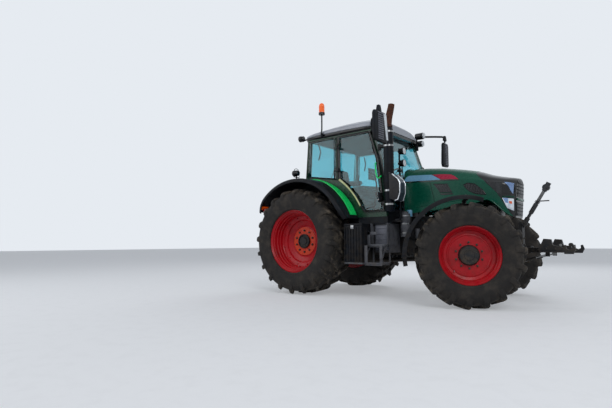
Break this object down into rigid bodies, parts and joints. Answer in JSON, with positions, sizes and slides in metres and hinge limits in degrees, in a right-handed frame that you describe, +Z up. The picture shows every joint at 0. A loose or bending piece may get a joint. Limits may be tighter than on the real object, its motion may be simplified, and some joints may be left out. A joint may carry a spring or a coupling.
{
  "type": "farm tractor",
  "caption": "Wheeled farm tractor with a glazed cab, hinged hood, steered and driven front wheels, and lift linkages at the front and the rear.",
  "frame": {"origin": "on the ground under the middle of the tractor's box", "axes": "+X forward, +Y to the driver's left, +Z up"},
  "size_m": [5.53, 3.0126, 3.463],
  "materials": {
    "tyre_rubber": "moulded rubber under dried mud",
    "rim_red": "red enamel",
    "chassis_grey": "dark grey enamel on castings",
    "bright_steel": "turned steel",
    "green_enamel": "dark green gloss enamel",
    "black_plastic": "grained black plastic",
    "grille_black": "gloss black plastic",
    "exhaust_black": "heat-proof black paint",
    "bright_shield": "pressed steel",
    "clear_glass": "tinted glass",
    "roof_grey": "pale grey moulded plastic",
    "seat_cloth": "dark woven cloth",
    "beacon_orange": "amber lens",
    "step_grey": "grey enamel"
  },
  "bodies": {
    "chassis": {"transmission_housing": "chassis_grey", "rear_axle": "chassis_grey", "engine_block": "chassis_grey", "front_frame": "chassis_grey", "front_axle_beam": "chassis_grey", "rear_fender_left": "black_plastic", "rear_fender_right": "black_plastic", "cab_floor": "black_plastic", "cab_frame_left": "green_enamel", "quarter_glass": "clear_glass", "cab_frame_right": "green_enamel", "windscreen": "clear_glass", "rear_window": "clear_glass", "cab_roof": "roof_grey", "seat": "seat_cloth", "steering_console": "black_plastic", "steering_wheel": "black_plastic", "hood_mount": "chassis_grey", "exhaust_stack": "exhaust_black", "exhaust_shield": "bright_shield", "mirror_left": "black_plastic", "mirror_right": "black_plastic", "beacon_stalk": "black_plastic", "beacon": "beacon_orange", "work_lamps": "black_plastic", "steps_left": "step_grey", "steps_right": "step_grey", "tool_box": "black_plastic", "side_tank": "step_grey", "fuel_tank": "black_plastic", "linkage_frame": "chassis_grey", "drawbar_hitch": "chassis_grey", "pto_shaft": "bright_steel"},
    "wheel_rear_left": {"tyre_rear_left": "tyre_rubber", "rim_rear_left": "rim_red"},
    "wheel_rear_right": {"tyre_rear_right": "tyre_rubber", "rim_rear_right": "rim_red"},
    "knuckle_left": {"knuckle_left": "chassis_grey", "front_fender_left": "black_plastic"},
    "knuckle_right": {"knuckle_right": "chassis_grey", "front_fender_right": "black_plastic"},
    "wheel_front_left": {"tyre_front_left": "tyre_rubber", "rim_front_left": "rim_red"},
    "wheel_front_right": {"tyre_front_right": "tyre_rubber", "rim_front_right": "rim_red"},
    "tie_rod": {"tie_rod": "chassis_grey"},
    "door_left": {"door_left": "green_enamel", "door_glass_left": "clear_glass"},
    "door_right": {"door_right": "green_enamel", "door_glass_right": "clear_glass"},
    "hood": {"hood": "green_enamel", "hood_nose": "grille_black"},
    "front_lift_arms": {"front_lift_arms": "chassis_grey"},
    "front_ram_barrels": {"front_ram_barrels": "chassis_grey"},
    "front_ram_rods": {"front_ram_rods": "bright_steel"},
    "top_link_front": {"top_link_front": "bright_steel"},
    "lower_links": {"lower_links": "chassis_grey"},
    "lift_arms": {"lift_arms": "chassis_grey"},
    "lift_rods": {"lift_rods": "chassis_grey"},
    "top_link_rear": {"top_link_rear": "bright_steel"}
  },
  "joints": [
    {"name": "rear_wheel_left", "type": "hinge", "parent": "chassis", "child": "wheel_rear_left", "pos_m": [-1.45, 0.96, 0.93944], "axis": [0, 1, 0], "continuous": true},
    {"name": "rear_wheel_right", "type": "hinge", "parent": "chassis", "child": "wheel_rear_right", "pos_m": [-1.45, -0.96, 0.93944], "axis": [0, 1, 0], "continuous": true},
    {"name": "steer_left", "type": "hinge", "parent": "chassis", "child": "knuckle_left", "pos_m": [1.45, 0.75, 0.72508], "axis": [0, 0, 1], "range_deg": [-70, 20]},
    {"name": "steer_right", "type": "hinge", "parent": "chassis", "child": "knuckle_right", "pos_m": [1.45, -0.75, 0.72508], "axis": [0, 0, 1], "range_deg": [-70, 20]},
    {"name": "front_wheel_left", "type": "hinge", "parent": "knuckle_left", "child": "wheel_front_left", "pos_m": [1.35068, 0.96298, 0.72508], "axis": [-0.4226, 0.9063, 0], "continuous": true},
    {"name": "front_wheel_right", "type": "hinge", "parent": "knuckle_right", "child": "wheel_front_right", "pos_m": [1.54931, -0.96298, 0.72508], "axis": [-0.4226, 0.9063, 0], "continuous": true},
    {"name": "tie_rod_turn", "type": "hinge", "parent": "knuckle_left", "child": "tie_rod", "pos_m": [1.21436, 0.64012, 0.55208], "axis": [0, 0, 1], "range_deg": [-20, 70]},
    {"name": "door_left_hinge", "type": "hinge", "parent": "chassis", "child": "door_left", "pos_m": [-0.744, 0.866, 2.2], "axis": [0, 0, 1], "range_deg": [0, 50]},
    {"name": "door_right_hinge", "type": "hinge", "parent": "chassis", "child": "door_right", "pos_m": [-0.744, -0.866, 2.2], "axis": [0, 0, -1], "range_deg": [0, 50]},
    {"name": "hood_hinge", "type": "hinge", "parent": "chassis", "child": "hood", "pos_m": [0.35, 0, 2.058], "axis": [0, -1, 0], "range_deg": [0, 55]},
    {"name": "front_lift", "type": "hinge", "parent": "chassis", "child": "front_lift_arms", "pos_m": [2.08, 0, 0.79], "axis": [0, -1, 0], "range_deg": [-45, 8]},
    {"name": "front_ram_tilt", "type": "hinge", "parent": "chassis", "child": "front_ram_barrels", "pos_m": [2.04, 0, 0.62], "axis": [0, -1, 0], "range_deg": [-39.25, 7.39]},
    {"name": "front_ram_stroke", "type": "slide", "parent": "front_ram_barrels", "child": "front_ram_rods", "axis": [0.9564, 0, 0.2922], "range_m": [-0.1308, 0.0241]},
    {"name": "front_top_link", "type": "hinge", "parent": "chassis", "child": "top_link_front", "pos_m": [2.07, 0, 1.182], "axis": [0, -1, 0], "range_deg": [-80, 3]},
    {"name": "rear_lift", "type": "hinge", "parent": "chassis", "child": "lower_links", "pos_m": [-1.65, 0, 0.67], "axis": [0, 1, 0], "range_deg": [-18, 25]},
    {"name": "lift_shaft", "type": "hinge", "parent": "chassis", "child": "lift_arms", "pos_m": [-1.75, 0, 1.19], "axis": [0, 1, 0], "range_deg": [-28.52, 39.42]},
    {"name": "lift_rod_turn", "type": "hinge", "parent": "lower_links", "child": "lift_rods", "pos_m": [-2.14, 0, 0.67], "axis": [0, 1, 0], "range_deg": [-23.66, 17.17]},
    {"name": "rear_top_link", "type": "hinge", "parent": "chassis", "child": "top_link_rear", "pos_m": [-1.87, 0, 1], "axis": [0, 1, 0], "range_deg": [-35, 60]}
  ],
  "couplings": [
    {"joint": "steer_right", "follows": "steer_left", "ratio": 1},
    {"joint": "tie_rod_turn", "follows": "steer_left", "ratio": -1},
    {"joint": "front_ram_tilt", "follows": "front_lift", "ratio": 0.86105},
    {"joint": "front_ram_stroke", "follows": "front_lift", "m_per_rad": 0.16527},
    {"joint": "lift_shaft", "follows": "rear_lift", "ratio": 1.5569},
    {"joint": "lift_rod_turn", "follows": "rear_lift", "ratio": -0.92622}
  ]
}
